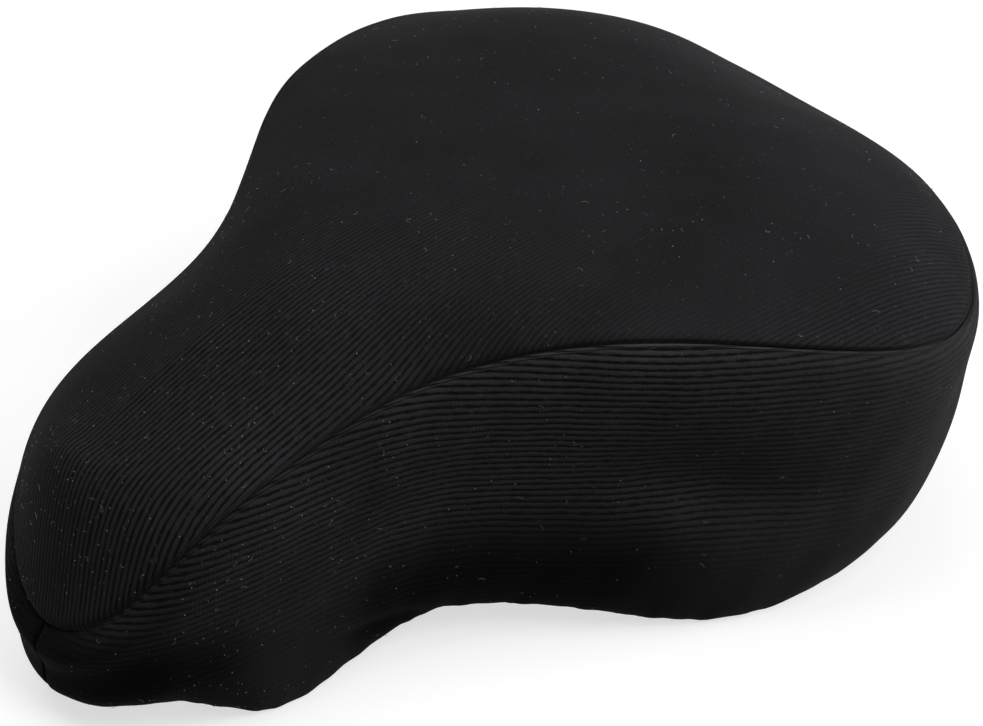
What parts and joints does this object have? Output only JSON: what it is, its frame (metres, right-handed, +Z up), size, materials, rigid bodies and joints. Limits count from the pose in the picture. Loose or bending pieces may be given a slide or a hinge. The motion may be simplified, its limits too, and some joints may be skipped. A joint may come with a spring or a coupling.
{
  "type": "bicycle saddle cover",
  "caption": "Slip-on stretch rib knit cover for a wide bicycle saddle, with a domed top panel, two side panels and an elastic gathered hem.",
  "frame": {"origin": "centre of the cover's bounding box in plan, at the height of its lowest fold", "axes": "+Y from the nose to the tail, +X towards the rider's left, +Z up"},
  "size_m": [0.2212, 0.266, 0.11],
  "materials": {
    "top_knit": "matt black rib knit with a few specks of lint",
    "left_knit": "matt black rib knit",
    "right_knit": "matt black rib knit",
    "elastic": "black braided elastic cord"
  },
  "bodies": {
    "root": {"top_panel": "top_knit", "side_panel_left": "left_knit", "side_panel_right": "right_knit", "hem_elastic": "elastic"}
  },
  "joints": []
}
